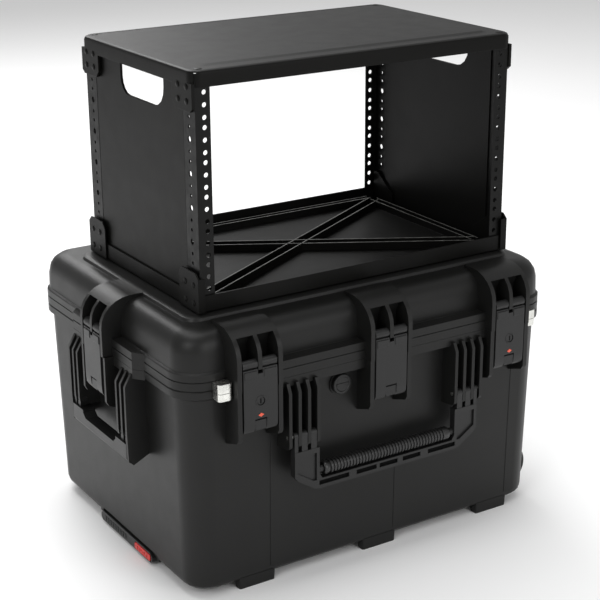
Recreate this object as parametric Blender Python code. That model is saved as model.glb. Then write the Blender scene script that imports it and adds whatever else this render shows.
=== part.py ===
"""Equipment rack case: a wheeled moulded case with a removable 6U rack cage standing on its lid.

Sizes in this file are millimetres until an object is made; Blender's objects are in metres.
X runs along the front of the case, Y from front to back, Z up, with the floor at Z = 0.
"""

from math import cos, pi, radians, sin

import bmesh
import bpy
from mathutils import Matrix, Vector

MM = 0.001
GAP = 0.3

# Case body.
RIM_X = 300.0
RIM_Y = 226.0
RIM_CORNER = 42.0
RIM_LOW_Z = 293.5
PARTING_Z = 304.0
LID_RIM_TOP_Z = 328.0
LID_TOP_Z = 387.0
GROOVE_LOW_Z = 316.0
GROOVE_HIGH_Z = 317.6
FOOT_Z = 9.0
BAND_FRONT = 240.0
BAND_SIDE = 311.0
SIDE_GEAR_Y = -14.0

# Latches.
LATCH_PITCH = 203.5
LATCH_HALF = 25.0
LATCH_PIVOT_Z = 338.0
LATCH_PIVOT_OUT = 7.5
LATCH_OUT = 14.5
LATCH_BOTTOM_Z = 246.0
HOUSING_HALF = 33.5
HOUSING_RIB = 6.5

# Lid hinge.
HINGE_Y = 246.5
HINGE_RADIUS = 8.0
HINGE_PIN_RADIUS = 2.6
HINGE_X = 150.0

# Handles.
HANDLE_RIBS = (113.5, 128.0, 142.5, 157.0)
HANDLE_PIVOT_Y = -245.0
HANDLE_PIVOT_Z = 221.0
SIDE_RIBS = (62.0, 75.0, 88.0)
SIDE_PIVOT_X = 314.0
SIDE_PIVOT_Z = 208.0
PIN_RADIUS = 2.5
GRIP_Y = -243.5
GRIP_Z = 163.5
GRIP_CORE = 5.5

# Wheels and tow handle.
WHEEL_X = 266.0
WHEEL_Z = 48.0
WHEEL_RADIUS = 33.0
WHEEL_INNER_Y = 162.0
WHEEL_OUTER_Y = 190.0
AXLE_RADIUS = 4.0
TOW_HALF = 82.0
TOW_X = -289.0
TOW_Y = SIDE_GEAR_Y

# Rack cage. RACK_Z is the bottom of the 6U opening.
CAGE_X = 6.0
CAGE_FRONT_Y = -168.0
CAGE_BACK_Y = 146.0
CAGE_HALF = 246.0
CAGE_BOTTOM_Z = LID_TOP_Z + GAP
RACK_Z = CAGE_BOTTOM_Z + 25.0
TRAY_RIB = 1.8
TRAY_RIB_HEIGHT = 11.0
TRAY_PAIR = 17.0
RACK_UNIT = 44.45
RACK_UNITS = 6
RACK_HOLE_X = 232.55
RACK_HOLE_RADIUS = 3.5
POST_SHEET = 2.0
POST_SIDE = 31.0
POST_FLANGE = 21.5
CAP_LOW_Z = RACK_Z + 267.0
CAP_TOP_Z = RACK_Z + 290.0

for old in list(bpy.data.objects):
    bpy.data.objects.remove(old)


# ---------------------------------------------------------------- materials


def material(name, colour, roughness, metallic=0.0):
    made = bpy.data.materials.new(name)
    made.use_nodes = True
    shader = made.node_tree.nodes["Principled BSDF"]
    shader.inputs["Base Color"].default_value = (*colour, 1.0)
    shader.inputs["Roughness"].default_value = roughness
    shader.inputs["Metallic"].default_value = metallic
    return made


SHELL = material("shell_plastic", (0.022, 0.022, 0.021), 0.55)
FITTING = material("fitting_plastic", (0.020, 0.020, 0.020), 0.45)
CAGE_PLASTIC = material("cage_plastic", (0.030, 0.029, 0.026), 0.6)
CAGE_STEEL = material("cage_steel", (0.018, 0.018, 0.018), 0.45, 0.6)
BRIGHT_STEEL = material("bright_steel", (0.62, 0.62, 0.58), 0.3, 1.0)
RED = material("red_plastic", (0.6, 0.02, 0.02), 0.4)
RUBBER = material("black_rubber", (0.012, 0.012, 0.012), 0.8)
FOAM = material("grey_foam", (0.05, 0.05, 0.055), 0.95)


# ---------------------------------------------------------------- shapes


def box(mesh, x0, x1, y0, y1, z0, z1):
    """An axis-aligned block."""
    place = Matrix.Translation(((x0 + x1) / 2, (y0 + y1) / 2, (z0 + z1) / 2))
    size = Matrix.Diagonal((x1 - x0, y1 - y0, z1 - z0, 1.0))
    bmesh.ops.create_cube(mesh, size=1.0, matrix=place @ size)


def prism(mesh, outline, low, high, axis="z"):
    """An outline, extruded along an axis. Its points are (x, y), (y, z) for x, or (x, z) for y."""
    order = {
        "z": lambda a, b, c: (a, b, c),
        "x": lambda a, b, c: (c, a, b),
        "y": lambda a, b, c: (a, c, b),
    }[axis]
    lower = [mesh.verts.new(order(a, b, low)) for a, b in outline]
    upper = [mesh.verts.new(order(a, b, high)) for a, b in outline]
    faces = [mesh.faces.new(lower), mesh.faces.new(upper)]
    for i in range(len(outline)):
        j = (i + 1) % len(outline)
        faces.append(mesh.faces.new((lower[i], lower[j], upper[j], upper[i])))
    bmesh.ops.recalc_face_normals(mesh, faces=faces)


def arc(cx, cy, radius, start, end, steps):
    """Points of a circular arc, between two angles in degrees."""
    return [
        (
            cx + radius * cos(radians(start + (end - start) * i / steps)),
            cy + radius * sin(radians(start + (end - start) * i / steps)),
        )
        for i in range(steps + 1)
    ]


def disc(mesh, centre, radius, low, high, axis, sides=16):
    """A cylinder along an axis."""
    outline = arc(*centre, radius, 0, 360 - 360 / sides, sides - 1)
    prism(mesh, outline, low, high, axis)


def corner_outline(half_x, half_y, radius, steps=5, centre=(0.0, 0.0)):
    """A rectangle with round corners."""
    points = []
    for quarter, (sx, sy) in enumerate(((1, 1), (-1, 1), (-1, -1), (1, -1))):
        cx = centre[0] + sx * (half_x - radius)
        cy = centre[1] + sy * (half_y - radius)
        points += arc(cx, cy, radius, 90 * quarter, 90 * quarter + 90, steps)
    return points


def loft(mesh, sections, steps=5, centre=(0.0, 0.0)):
    """A closed solid through round-cornered sections of (half_x, half_y, radius, z)."""
    rings = []
    for half_x, half_y, radius, z in sections:
        outline = corner_outline(half_x, half_y, radius, steps, centre)
        rings.append([mesh.verts.new((x, y, z)) for x, y in outline])
    faces = [mesh.faces.new(rings[0]), mesh.faces.new(rings[-1])]
    for lower, upper in zip(rings, rings[1:]):
        for i in range(len(lower)):
            j = (i + 1) % len(lower)
            faces.append(mesh.faces.new((lower[i], lower[j], upper[j], upper[i])))
    bmesh.ops.recalc_face_normals(mesh, faces=faces)


def frame_ring(mesh, outer, inner, low, high, steps=5):
    """A closed band between two round-cornered outlines of (half_x, half_y, radius)."""
    loops = []
    for size, z in ((outer, low), (outer, high), (inner, high), (inner, low)):
        loops.append([mesh.verts.new((x, y, z)) for x, y in corner_outline(*size, steps)])
    faces = []
    for k in range(4):
        first, second = loops[k], loops[(k + 1) % 4]
        for i in range(len(first)):
            j = (i + 1) % len(first)
            faces.append(mesh.faces.new((first[i], first[j], second[j], second[i])))
    bmesh.ops.recalc_face_normals(mesh, faces=faces)


# ---------------------------------------------------------------- objects


def build(name, shape, finish, origin=(0.0, 0.0, 0.0)):
    """A named object from a shape function, with its origin at a point in millimetres."""
    mesh = bmesh.new()
    shape(mesh)
    for vertex in mesh.verts:
        vertex.co = (vertex.co - Vector(origin)) * MM
    data = bpy.data.meshes.new(name)
    mesh.to_mesh(data)
    mesh.free()
    made = bpy.data.objects.new(name, data)
    bpy.context.scene.collection.objects.link(made)
    made.location = Vector(origin) * MM
    made.data.materials.append(finish)
    return made


def combine(target, shape, operation):
    """Adds or cuts a shape with a Boolean. The helper is hidden from renders."""
    count = len(target.modifiers)
    helper = build(f"{target.name}_helper_{count}", shape, target.data.materials[0])
    helper.hide_render = True
    helper.display_type = "WIRE"
    step = target.modifiers.new(f"{operation.lower()}_{count}", "BOOLEAN")
    step.operation = operation
    step.solver = "EXACT"
    step.use_self = True
    step.object = helper
    return target


def add(target, shape):
    return combine(target, shape, "UNION")


def cut(target, shape):
    return combine(target, shape, "DIFFERENCE")


def smooth(target, angle=30):
    target.data.shade_smooth()
    target.data.set_sharp_from_angle(angle=radians(angle))
    return target


class Spot:
    """A place on the rim: shapes are drawn for the front, then turned to the side they belong to.

    In the drawing X runs along the rim and Y = 0 is the face of the raised band, outward negative.
    """

    def __init__(self, name, turn, x, y, depth, guard):
        self.name = name
        self.place = Matrix.Translation((x, y, 0)) @ Matrix.Rotation(radians(turn), 4, "Z")
        self.depth = depth
        self.guard = guard

    def draw(self, shape):
        def drawn(mesh):
            before = set(mesh.verts)
            shape(mesh)
            new = [v for v in mesh.verts if v not in before]
            bmesh.ops.transform(mesh, matrix=self.place, verts=new)

        return drawn

    def point(self, x, y, z):
        return tuple(self.place @ Vector((x, y, z)))


FRONT_DEPTH = 25.0
SIDE_DEPTH = 22.0
FRONT_GUARD = (HOUSING_HALF - HOUSING_RIB, HOUSING_HALF)
SIDE_GUARD = (31.4, 36.5)
SPOTS = [
    Spot("front_left", 0, -LATCH_PITCH, -BAND_FRONT, FRONT_DEPTH, FRONT_GUARD),
    Spot("front_centre", 0, 0, -BAND_FRONT, FRONT_DEPTH, FRONT_GUARD),
    Spot("front_right", 0, LATCH_PITCH, -BAND_FRONT, FRONT_DEPTH, FRONT_GUARD),
    Spot("side_left", -90, -BAND_SIDE, SIDE_GEAR_Y, SIDE_DEPTH, SIDE_GUARD),
    Spot("side_right", 90, BAND_SIDE, SIDE_GEAR_Y, SIDE_DEPTH, SIDE_GUARD),
]


# ---------------------------------------------------------------- case base


def base_outer(mesh):
    loft(
        mesh,
        [
            (272, 202, 26, FOOT_Z),
            (280, 210, 31, FOOT_Z + 3),
            (285, 215, 34, FOOT_Z + 8),
            (287, 217, 36, FOOT_Z + 15),
            (293, 222.5, 39, 290),
            (RIM_X, RIM_Y, RIM_CORNER, RIM_LOW_Z),
            (RIM_X, RIM_Y, RIM_CORNER, PARTING_Z - 1.2),
            (RIM_X - 1, RIM_Y - 1, RIM_CORNER - 1, PARTING_Z),
        ],
    )


def base_cavity(mesh):
    loft(
        mesh,
        [
            (268, 198, 22, 15),
            (276, 206, 26, 18),
            (281, 211, 30, 25),
            (287, 216.5, 33, 290),
            (287, 216.5, 33, PARTING_Z + 5),
        ],
    )


def rim_tongue(mesh):
    frame_ring(mesh, (296, 222, 40), (293, 219, 37), PARTING_Z - 1, PARTING_Z + 2)


def front_band(mesh, low, high):
    """The thicker band of the rim, between the outer front latches."""
    outline = [(-236, -218), (-235, -BAND_FRONT), (235, -BAND_FRONT), (236, -218)]
    prism(mesh, outline, low, high)


def band_grooves(mesh):
    """The fine line along the lid's thicker bands."""
    box(mesh, -240, 240, -BAND_FRONT - 5, -BAND_FRONT + 1.2, GROOVE_LOW_Z, GROOVE_HIGH_Z)
    for side in (-1, 1):
        low, high = sorted((side * (BAND_SIDE - 1.2), side * (BAND_SIDE + 5)))
        for end in (-1, 1):
            y0, y1 = sorted((SIDE_GEAR_Y + end * 30, SIDE_GEAR_Y + end * 92))
            box(mesh, low, high, y0, y1, GROOVE_LOW_Z, GROOVE_HIGH_Z)


def side_bands(mesh, low, high):
    """The thicker bands of the rim beside each side latch."""
    for side in (-1, 1):
        for end in (-1, 1):
            outline = [
                (side * 294, SIDE_GEAR_Y + end * 27),
                (side * BAND_SIDE, SIDE_GEAR_Y + end * 27),
                (side * BAND_SIDE, SIDE_GEAR_Y + end * 92),
                (side * RIM_X, SIDE_GEAR_Y + end * 106),
                (side * 294, SIDE_GEAR_Y + end * 106),
            ]
            prism(mesh, outline, low, high)


def base_guards(depth, inner, outer):
    """The two guard ribs beside a latch and the catch block that it closes over.

    The side latches' guards stand wider apart, so that a closed latch clears them as the lid tips.
    """

    def shape(mesh):
        rib = [
            (depth, 222),
            (-10, 234),
            (-13.5, 240),
            (-13.5, PARTING_Z),
            (depth, PARTING_Z),
        ]
        for side in (-1, 1):
            low, high = sorted((side * inner, side * outer))
            prism(mesh, rib, low, high, "x")
        catch = [(depth, 240), (0.5, 252), (-0.5, 256), (-0.5, 300), (depth, 300)]
        prism(mesh, catch, -22, 22, "x")

    return shape


def front_ribs(mesh):
    """The upright ribs that carry the front handle."""
    rib = [(-211, 200), (-240, 203), *arc(-244, 211, 7, 250, 180, 3), (-251, 285), (-245, 297), (-211, 297)]
    for side in (-1, 1):
        for x in HANDLE_RIBS:
            prism(mesh, rib, side * x - 2.4, side * x + 2.4, "x")


def side_ribs(mesh):
    """The upright ribs that carry the side handles."""
    for side in (-1, 1):
        upper = [(322, 212), (322, 280), (312, 297), (285, 297)]
        short = [(285, 200), (310, 199.5), (316, 200), (321, 204), *upper]
        long = [(285, 180), (314, 166), (321, 172), *upper]
        for end in (-1, 1):
            for y in SIDE_RIBS:
                middle = SIDE_GEAR_Y + end * y
                rib = long if y == SIDE_RIBS[-1] else short
                rib = [(side * x, z) for x, z in rib]
                prism(mesh, rib, middle - 2.4, middle + 2.4, "y")


def handle_bores(mesh):
    for side in (-1, 1):
        low = min(side * 110, side * 160)
        disc(mesh, (HANDLE_PIVOT_Y, HANDLE_PIVOT_Z), PIN_RADIUS + GAP, low, low + 50, "x", 12)
        for end in (-1, 1):
            low = SIDE_GEAR_Y + min(end * 59.2, end * 86.5)
            centre = (side * SIDE_PIVOT_X, SIDE_PIVOT_Z)
            disc(mesh, centre, PIN_RADIUS + 1 + GAP, low, low + 27.3, "y", 12)


def feet(mesh):
    for x in (-190, 11, 214):
        for y in (-208, 208):
            loft(mesh, [(28, 7, 3, 0), (28.5, 7.5, 3, FOOT_Z + 8)], 2, (x, y))


def inner_humps(mesh):
    """Inside, the floor rises over the tow handle's channel and round each wheel well."""
    box(mesh, -284, 206, TOW_Y - 93, TOW_Y + 93, 12, 28)
    for side in (-1, 1):
        outline = [(222, 150), (283, 150), (283, 183), (278, 199), (266, 209), (222, 210)]
        prism(mesh, [(x, side * y) for x, y in outline], 20, 92)


def wheel_wells(mesh):
    for side in (-1, 1):
        y0, y1 = sorted((side * (WHEEL_INNER_Y - 3), side * (WHEEL_OUTER_Y + 3)))
        reach = WHEEL_RADIUS + 4
        outline = [
            (WHEEL_X + 60, WHEEL_Z + reach),
            *arc(WHEEL_X, WHEEL_Z, reach, 90, 180, 6),
            (WHEEL_X - reach, -5),
            (WHEEL_X + 60, -5),
        ]
        prism(mesh, outline, y0, y1, "y")
        y0, y1 = sorted((side * 153, side * 200))
        disc(mesh, (WHEEL_X, WHEEL_Z), AXLE_RADIUS + GAP, y0, y1, "y", 12)


def tow_channel(mesh):
    """The channel under the floor for the tow handle, open at the left end."""
    box(mesh, -262, 200, TOW_Y - 72, TOW_Y + 72, -5, 22)
    outline = [(-86, -5), (-86, 14), (-78, 22), (78, 22), (86, 14), (86, -5)]
    prism(mesh, [(TOW_Y + y, z) for y, z in outline], -320, -258, "x")


def strap_seats(mesh):
    for x in (-150, 60):
        box(mesh, x - 16, x + 16, TOW_Y - 91, TOW_Y + 91, 0, FOOT_Z + 0.2)


def hinge_knuckles(mesh, lid):
    """Round knuckles at the back rim: the base has the middle one of three, the lid the other two."""
    for side in (-1, 1):
        for step in (-1, 0, 1):
            if (step == 0) == lid:
                continue
            x = side * HINGE_X + step * 26
            half = 12.5
            disc(mesh, (HINGE_Y, PARTING_Z), HINGE_RADIUS, x - half, x + half, "x", 16)
            if lid:
                neck = [(220, 305), (220, 322), (HINGE_Y - 2, 311.5), (HINGE_Y, 305)]
            else:
                neck = [(220, 286), (220, 303), (HINGE_Y, 303), (HINGE_Y - 2, 296.5)]
            prism(mesh, neck, x - half, x + half, "x")


def base_hinge(mesh):
    hinge_knuckles(mesh, False)


def lid_hinge(mesh):
    hinge_knuckles(mesh, True)


def hinge_bores(mesh):
    for side in (-1, 1):
        x = side * HINGE_X
        disc(mesh, (HINGE_Y, PARTING_Z), HINGE_PIN_RADIUS + GAP, x - 42, x + 42, "x", 12)


VALVE = (-62.0, 270.0)


def valve_boss(mesh):
    disc(mesh, VALVE, 17, -224, -211, "y", 20)


def make_base():
    shell = build("base_shell", base_outer, SHELL)
    add(shell, lambda mesh: front_band(mesh, 291, PARTING_Z))
    add(shell, lambda mesh: side_bands(mesh, 291, PARTING_Z))
    for spot in SPOTS:
        add(shell, spot.draw(base_guards(spot.depth, *spot.guard)))
    add(shell, front_ribs)
    add(shell, side_ribs)
    add(shell, feet)
    add(shell, valve_boss)
    add(shell, base_hinge)
    add(shell, rim_tongue)
    cut(shell, base_cavity)
    add(shell, inner_humps)
    cut(shell, wheel_wells)
    cut(shell, tow_channel)
    cut(shell, strap_seats)
    cut(shell, handle_bores)
    cut(shell, hinge_bores)
    return smooth(shell)


# ---------------------------------------------------------------- case lid

LID_LOW_Z = PARTING_Z + GAP


def lid_outer(mesh):
    loft(
        mesh,
        [
            (RIM_X - 1, RIM_Y - 1, RIM_CORNER - 1, LID_LOW_Z),
            (RIM_X, RIM_Y, RIM_CORNER, LID_LOW_Z + 1.2),
            (RIM_X, RIM_Y, RIM_CORNER, LID_RIM_TOP_Z - 1.5),
            (RIM_X - 1.5, RIM_Y - 1.5, RIM_CORNER - 1, LID_RIM_TOP_Z),
            (296.5, 222.5, 38, LID_RIM_TOP_Z + 1),
            (296, 222, 38, 352),
            (293.5, 219.5, 36, 363),
            (288.5, 214.5, 33, 371.5),
            (280.5, 206.5, 28, 377.5),
            (269, 195, 22, 380.5),
        ],
    )


def lid_cavity(mesh):
    loft(
        mesh,
        [
            (287, 213, 33, LID_LOW_Z - 5),
            (289, 215, 33, 345),
            (286, 212, 31, 360),
            (278, 204, 27, 370),
            (262, 188, 18, 375.5),
        ],
    )


def lid_panel(mesh):
    """The raised field on top of the lid."""
    sections = [(265, 169, 22, 379), (262.5, 166.5, 20, 384), (257, 161, 16, LID_TOP_Z)]
    loft(mesh, sections, 4, (0, -11))


def lid_rim_groove(mesh):
    """A shallow line round the lid's rim."""
    frame_ring(mesh, (310, 236, 50), (298.8, 224.8, 41), GROOVE_LOW_Z, GROOVE_HIGH_Z)


def seal_groove(mesh):
    frame_ring(mesh, (297.3, 223.3, 40.5), (291.7, 217.7, 35.5), LID_LOW_Z - 2, LID_LOW_Z + 6)


def latch_housing(depth):
    """The hood over a latch, which rises from the lid and carries its pivot."""

    def shape(mesh):
        hood = [
            (30 - (LATCH_OUT + 30) * sin(radians(t)), 345 + 39.8 * cos(radians(t)))
            for t in (90, 75, 60, 45, 30, 15, 0)
        ]
        outline = [(-LATCH_OUT, LID_LOW_Z), *hood, (52, 384.8), (50, 381), (depth, 366), (depth, LID_LOW_Z)]
        prism(mesh, outline, -HOUSING_HALF, HOUSING_HALF, "x")

    return shape


def latch_pockets(mesh):
    """The two open pockets in the hood above the latch's knuckles, and the room below them."""
    inner = HOUSING_HALF - HOUSING_RIB
    for x0, x1 in ((-inner, -3.0), (3.0, inner)):
        outline = [(-30, 330.5), (-30, 375), (-4, 375), (8, 369), (14, 357), (15, 345), (15, 330.5)]
        prism(mesh, outline, x0, x1, "x")
    box(mesh, -inner, inner, -30, -0.8, LID_LOW_Z - 3, 331)


def latch_pin_bore(mesh):
    inner = HOUSING_HALF - 2
    disc(mesh, (-LATCH_PIVOT_OUT, LATCH_PIVOT_Z), 2.0 + GAP, -inner, inner, "x", 10)


def make_lid():
    shell = build("lid_shell", lid_outer, SHELL)
    cut(shell, lid_rim_groove)
    add(shell, lid_panel)
    add(shell, lambda mesh: front_band(mesh, LID_LOW_Z, LID_RIM_TOP_Z))
    add(shell, lambda mesh: side_bands(mesh, LID_LOW_Z, LID_RIM_TOP_Z))
    add(shell, lid_hinge)
    cut(shell, band_grooves)
    for spot in SPOTS:
        add(shell, spot.draw(latch_housing(spot.depth)))
    cut(shell, lid_cavity)
    for spot in SPOTS:
        cut(shell, spot.draw(latch_pockets))
        cut(shell, spot.draw(latch_pin_bore))
    cut(shell, seal_groove)
    cut(shell, hinge_bores)
    smooth(shell)


def seal(mesh):
    frame_ring(mesh, (297, 223, 40.2), (292, 218, 35.8), PARTING_Z + 2.3, LID_LOW_Z + 5.7)


def hinge_pin(side):
    def shape(mesh):
        x = side * HINGE_X
        disc(mesh, (HINGE_Y, PARTING_Z), HINGE_PIN_RADIUS, x - 38, x + 38, "x", 12)

    return shape


# ---------------------------------------------------------------- latches


TRIGGER_OUT = 11.0
TRIGGER_Z = 261.0
TRIGGER_PIN = 1.2


def latch_plate(mesh):
    """A latch's plate, bowed outward and rounded at its lower edge."""
    face = [
        (-1.2, 250),
        (-4, LATCH_BOTTOM_Z),
        (-11, LATCH_BOTTOM_Z),
        (-13.8, 251),
        (-LATCH_OUT, 262),
        (-LATCH_OUT, 328),
        (-13.5, 332.5),
        (-1.2, 332.5),
    ]
    prism(mesh, face, -LATCH_HALF, LATCH_HALF, "x")


def latch_knuckles(mesh):
    for x0, x1 in ((-LATCH_HALF, -3.4), (3.4, LATCH_HALF)):
        disc(mesh, (-LATCH_PIVOT_OUT, LATCH_PIVOT_Z), 6.6, x0, x1, "x", 14)


def latch_hollow(mesh):
    """The hollow back, the notch at the top, the pin's bore, and the seat of the release lever."""
    box(mesh, -20, 20, -11, 3, 266, 323.5)
    box(mesh, -3.6, 3.6, -20, 3, 326, 336)
    box(mesh, -8.8, 8.8, -20, -8, 240, 264)
    disc(mesh, (-LATCH_PIVOT_OUT, LATCH_PIVOT_Z), 2.0 + GAP, -30, 30, "x", 10)
    disc(mesh, (-TRIGGER_OUT, TRIGGER_Z), TRIGGER_PIN + GAP, -11.5, 11.5, "x", 8)


def trigger(mesh):
    """The small release lever at the latch's lower edge."""
    lever = [(-13.4, 248), (-10.6, 247), (-8.5, 249.5), (-8.5, 261), (-11, 263.2), (-13.6, 261.5)]
    prism(mesh, lever, -8.4, 8.4, "x")


def trigger_pins(mesh):
    disc(mesh, (-TRIGGER_OUT, TRIGGER_Z), TRIGGER_PIN, -11, 11, "x", 8)


def latch_pin(mesh):
    inner = HOUSING_HALF - 2.5
    disc(mesh, (-LATCH_PIVOT_OUT, LATCH_PIVOT_Z), 2.0, -inner, inner, "x", 10)


LOCK_Z = 288.0


def lock_bore(mesh):
    disc(mesh, (0, LOCK_Z), 5.5 + GAP, -20, -5, "y", 14)


def lock_plug(mesh):
    disc(mesh, (0, LOCK_Z), 5.5, -LATCH_OUT + 0.3, -8.5, "y", 14)


def make_latches():
    for spot in SPOTS:
        pivot = spot.point(0, -LATCH_PIVOT_OUT, LATCH_PIVOT_Z)
        plate = build(f"latch_{spot.name}", spot.draw(latch_plate), FITTING, pivot)
        add(plate, spot.draw(latch_knuckles))
        cut(plate, spot.draw(latch_hollow))
        build(f"latch_pin_{spot.name}", spot.draw(latch_pin), BRIGHT_STEEL, pivot)
        lever_pivot = spot.point(0, -TRIGGER_OUT, TRIGGER_Z)
        lever = build(f"latch_trigger_{spot.name}", spot.draw(trigger), FITTING, lever_pivot)
        add(lever, spot.draw(trigger_pins))
        if spot.name in ("front_left", "front_right"):
            cut(plate, spot.draw(lock_bore))
            build(
                f"lock_plug_{spot.name}",
                spot.draw(lock_plug),
                BRIGHT_STEEL,
                spot.point(0, -LATCH_OUT, LOCK_Z),
            )


# ---------------------------------------------------------------- small fittings


def hasp(side, low, high):
    """A steel padlock plate on the rim, with an upright hole."""
    outline = [(-10, 0), (-10, -13.4), *arc(-6, -13.4, 4, 180, 270, 2)]
    outline += [*arc(6, -13.4, 4, 270, 360, 2), (10, 0)]
    x, y = side * 248.0, -RIM_Y - 0.6

    def shape(mesh):
        prism(mesh, [(x + across, y + out) for across, out in outline], low, high)

    def hole(mesh):
        disc(mesh, (x, y - 9), 4.2, low - 5, high + 5, "z", 12)

    return shape, hole


def make_hasps():
    for side, word in ((-1, "left"), (1, "right")):
        for name, low, high in (
            (f"hasp_base_{word}", RIM_LOW_Z + 0.5, PARTING_Z - 0.2),
            (f"hasp_lid_{word}", LID_LOW_Z + 0.2, LID_LOW_Z + 12.5),
        ):
            shape, hole = hasp(side, low, high)
            cut(build(name, shape, BRIGHT_STEEL), hole)


def valve_cap(mesh):
    disc(mesh, VALVE, 14.5, -230.5, -224.3, "y", 18)


# ---------------------------------------------------------------- handles


def mirrored(outline):
    """An outline given by its right half, top to bottom, completed on the left."""
    return outline + [(-x, z) for x, z in reversed(outline)]


def front_handle(mesh):
    """The folding front handle: two legs and a lower bar in one flat bow."""
    outer = [(151, 199), (151, 163), (146, 157), (120, 140), (112, 138.5)]
    inner = [(112.5, 199), (112.5, 160), (108, 153)]
    outline = mirrored(outer) + [(-x, z) for x, z in inner] + [(x, z) for x, z in reversed(inner)]
    prism(mesh, outline, -251, -240.5, "y")


def front_knuckles(mesh):
    """Three knuckles on each leg, between the case's ribs, and the bar inside the grip."""
    for side in (-1, 1):
        for left, right in ((116.5, 125.4), (131, 139.9), (145.5, 151)):
            low, high = sorted((side * left, side * right))
            disc(mesh, (HANDLE_PIVOT_Y, HANDLE_PIVOT_Z), 6, low, high, "x", 12)
            box(mesh, low, high, -250.5, -241, 190, HANDLE_PIVOT_Z)
    disc(mesh, (GRIP_Y, GRIP_Z), GRIP_CORE, -114, 114, "x", 12)


def front_handle_cuts(mesh):
    """The recessed webs of the legs, the slots of the bar, and the pins' bores."""
    for side in (-1, 1):
        web = [(117, 192), (146.5, 192), (146.5, 168), (122, 152), (117, 152)]
        prism(mesh, [(side * x, z) for x, z in web], -260, -248, "y")
        low, high = sorted((side * 108, side * 160))
        disc(mesh, (HANDLE_PIVOT_Y, HANDLE_PIVOT_Z), PIN_RADIUS + GAP, low, high, "x", 10)
    for x0, x1 in ((-113, -65), (-53, -20), (-15, 15), (24, 54), (67, 114)):
        box(mesh, x0, x1, -260, -247.5, 143.5, 150)


def grip_sleeve(mesh):
    disc(mesh, (GRIP_Y, GRIP_Z), 9, -104, 104, "x", 16)


def grip_bore(mesh):
    disc(mesh, (GRIP_Y, GRIP_Z), GRIP_CORE + GAP, -120, 120, "x", 12)


def front_handle_pin(side):
    def shape(mesh):
        low, high = sorted((side * 110.6, side * 159.4))
        disc(mesh, (HANDLE_PIVOT_Y, HANDLE_PIVOT_Z), PIN_RADIUS, low, high, "x", 10)

    return shape


def side_handle(side):
    """A side handle: a wide moulded bow."""

    def shape(mesh):
        section = [(303, 173), (308, 169.5), (318, 169.5), (321.5, 174), (321.5, 196), (303, 196)]
        outline = [(side * x, z) for x, z in section]
        prism(mesh, outline, SIDE_GEAR_Y - 84.8, SIDE_GEAR_Y + 84.8, "y")

    def hand_room(mesh):
        outline = [(-52, 200), (-52, 192), (-44, 185.5), (44, 185.5), (52, 192), (52, 200)]
        low, high = sorted((side * 295, side * 330))
        prism(mesh, [(SIDE_GEAR_Y + y, z) for y, z in outline], low, high, "x")

    def knuckles(mesh):
        for end in (-1, 1):
            for inner, outer in ((64.9, 72.1), (77.9, 85.1)):
                low, high = sorted((SIDE_GEAR_Y + end * inner, SIDE_GEAR_Y + end * outer))
                disc(mesh, (side * SIDE_PIVOT_X, SIDE_PIVOT_Z), 6, low, high, "y", 12)
                x0, x1 = sorted((side * 309.5, side * 319))
                box(mesh, x0, x1, low, high, 190, SIDE_PIVOT_Z)

    def pivots(mesh):
        for end in (-1, 1):
            low, high = sorted((SIDE_GEAR_Y + end * 59.6, SIDE_GEAR_Y + end * 86.2))
            disc(mesh, (side * SIDE_PIVOT_X, SIDE_PIVOT_Z), PIN_RADIUS + 1, low, high, "y", 10)

    return shape, hand_room, knuckles, pivots


def make_handles():
    pivot = (0, HANDLE_PIVOT_Y, HANDLE_PIVOT_Z)
    handle = build("front_handle_frame", front_handle, FITTING, pivot)
    add(handle, front_knuckles)
    cut(handle, front_handle_cuts)
    cut(build("front_handle_grip", grip_sleeve, RUBBER, pivot), grip_bore)
    for side, word in ((-1, "left"), (1, "right")):
        build(f"front_handle_pin_{word}", front_handle_pin(side), BRIGHT_STEEL, pivot)
        centre = (side * SIDE_PIVOT_X, SIDE_GEAR_Y, SIDE_PIVOT_Z)
        shape, hand_room, knuckles, pivots = side_handle(side)
        bow = build(f"side_handle_{word}", shape, FITTING, centre)
        cut(bow, hand_room)
        add(bow, knuckles)
        add(bow, pivots)


# ---------------------------------------------------------------- wheels and tow handle


def wheel_hub(side):
    def shape(mesh):
        y0, y1 = sorted((side * (WHEEL_INNER_Y + 2), side * (WHEEL_OUTER_Y - 2)))
        disc(mesh, (WHEEL_X, WHEEL_Z), 24, y0, y1, "y", 20)

    def bore(mesh):
        y0, y1 = sorted((side * 150, side * 220))
        disc(mesh, (WHEEL_X, WHEEL_Z), AXLE_RADIUS + GAP, y0, y1, "y", 12)

    return shape, bore


def tyre(side):
    """A rubber tyre: a closed ring turned round the wheel's axis."""
    profile = [(24.3, 3), (24.3, 25), (30, 28), (33, 25), (33, 3), (30, 0)]

    def shape(mesh):
        steps = 24
        rings = []
        for i in range(steps):
            angle = 2 * pi * i / steps
            ring = []
            for radius, across in profile:
                x = WHEEL_X + radius * cos(angle)
                z = WHEEL_Z + radius * sin(angle)
                ring.append(mesh.verts.new((x, side * (WHEEL_INNER_Y + across), z)))
            rings.append(ring)
        faces = []
        for i in range(steps):
            first, second = rings[i], rings[(i + 1) % steps]
            for k in range(len(profile)):
                j = (k + 1) % len(profile)
                faces.append(mesh.faces.new((first[k], first[j], second[j], second[k])))
        bmesh.ops.recalc_face_normals(mesh, faces=faces)

    return shape


def axle(side):
    def shape(mesh):
        y0, y1 = sorted((side * 156, side * 199))
        disc(mesh, (WHEEL_X, WHEEL_Z), AXLE_RADIUS, y0, y1, "y", 12)

    return shape


def tow_cross_bar(mesh):
    box(mesh, 176, 190, TOW_Y - 69, TOW_Y + 69, 9.6, 18.6)


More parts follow.
